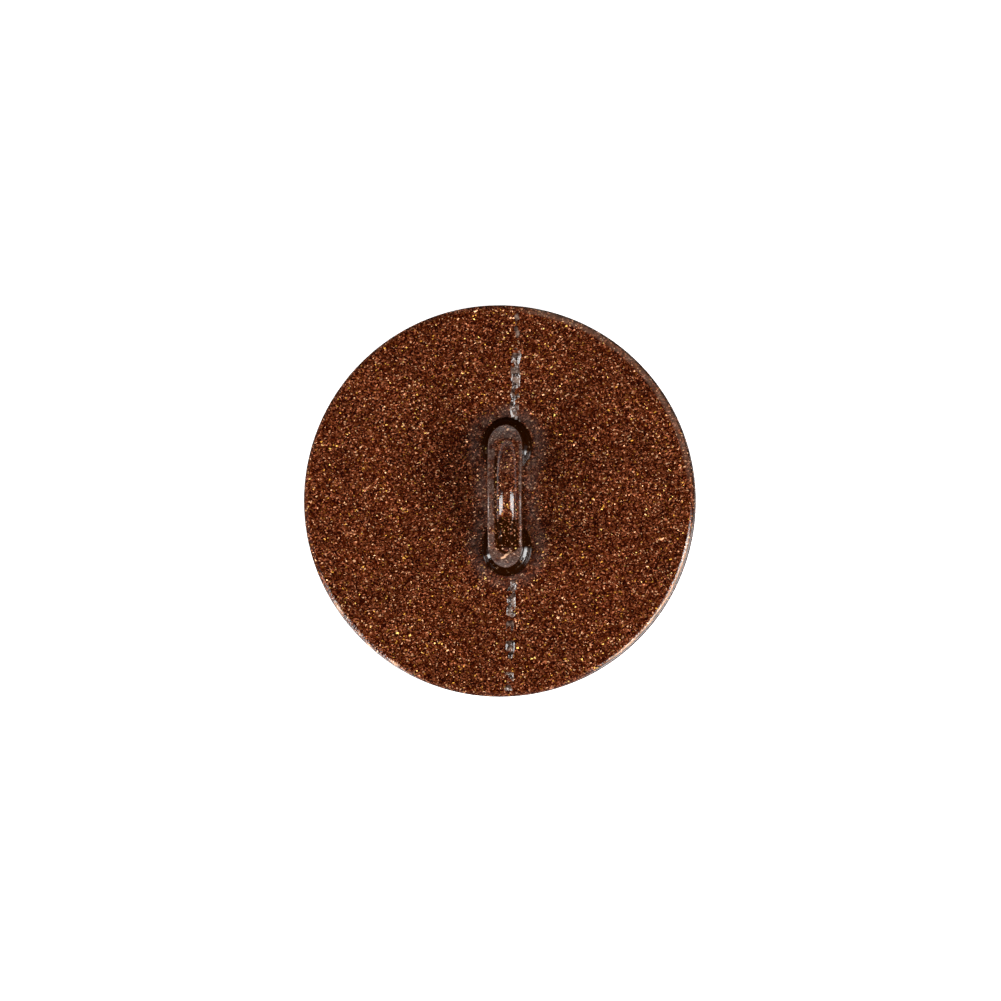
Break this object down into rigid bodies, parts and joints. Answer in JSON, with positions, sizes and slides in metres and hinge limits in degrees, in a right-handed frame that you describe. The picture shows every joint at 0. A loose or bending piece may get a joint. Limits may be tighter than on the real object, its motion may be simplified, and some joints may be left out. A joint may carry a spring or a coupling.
{
  "type": "sew-on shank button",
  "caption": "Round sew-on shank button in brown glitter lacquer: a hollow face shell, a flat back plate and an arched thread loop on its back.",
  "frame": {"origin": "on the button's axis, at the flat ring of the face that it rests on", "axes": "+Z from the face to the shank, +Y along the loop, +X through the thread hole"},
  "size_m": [0.02, 0.02, 0.0075],
  "materials": {
    "glitter_lacquer": "sprayed clear lacquer full of copper and gold glitter over dark brown plastic",
    "set_cement": "clear amber cement"
  },
  "bodies": {
    "root": {"face_shell": "glitter_lacquer", "back_plate": "glitter_lacquer", "shank_loop": "glitter_lacquer", "cement_ring": "set_cement"}
  },
  "joints": []
}
